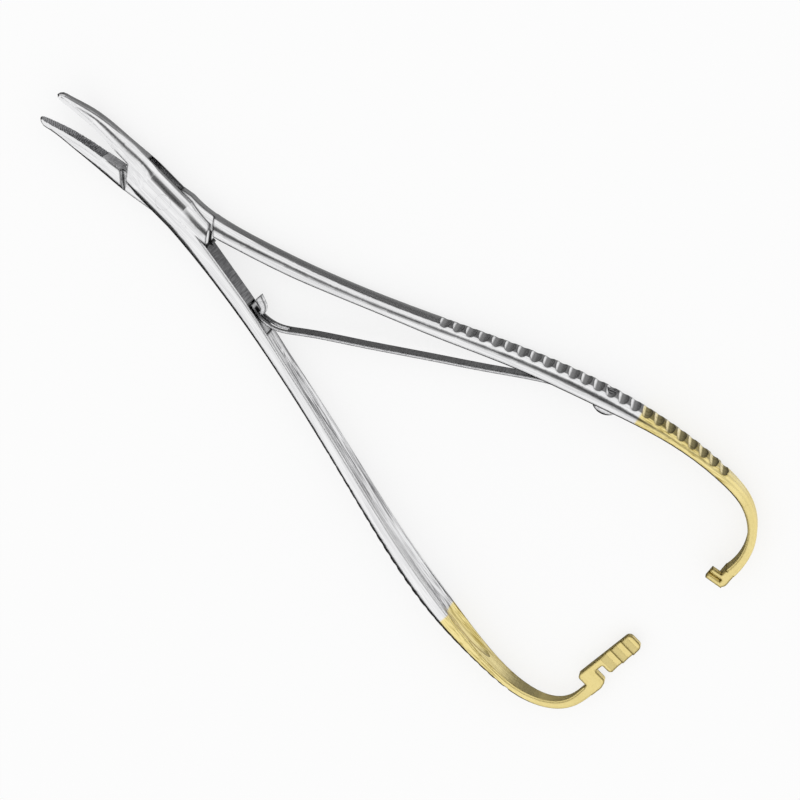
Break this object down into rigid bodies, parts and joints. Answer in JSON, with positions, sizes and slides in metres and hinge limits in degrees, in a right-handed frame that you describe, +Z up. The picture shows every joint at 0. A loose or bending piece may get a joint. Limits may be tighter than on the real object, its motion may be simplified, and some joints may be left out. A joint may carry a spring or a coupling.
{
  "type": "surgical needle holder",
  "caption": "Needle holder with a box lock, upturned narrow jaws with hard pads, sprung plier handles with finger grooves and an end ratchet.",
  "frame": {"origin": "on the pivot axis, at the level of the surface that the lock and handles lie on", "axes": "+X along the middle line towards the handle ends, +Y towards the tongue arm's handle, +Z up, to the side that the jaws curve towards"},
  "size_m": [0.1664, 0.0688, 0.0076],
  "materials": {
    "polished_steel": "brushed along the arms, rounded backs polished; handle ends gilt from about 102 mm behind the pivot",
    "pad_metal": "dull grey with fine cross grooves",
    "spring_steel": "smooth, lightly polished"
  },
  "bodies": {
    "box_arm_body": {"box_arm": "polished_steel", "pivot_pin": "polished_steel", "box_jaw_insert": "pad_metal", "spring_catch": "spring_steel"},
    "tongue_arm_body": {"tongue_arm": "polished_steel", "tongue_jaw_insert": "pad_metal", "leaf_spring": "spring_steel", "spring_screw": "spring_steel"}
  },
  "joints": [
    {"name": "box_lock_pivot", "type": "hinge", "parent": "box_arm_body", "child": "tongue_arm_body", "pos_m": [0, 0, 0.0032], "axis": [0, 0, -1], "range_deg": [0, 10.9], "stiffness_Nm_per_rad": 1.2, "springref_deg": -5.73, "deforming": ["leaf_spring"]}
  ]
}
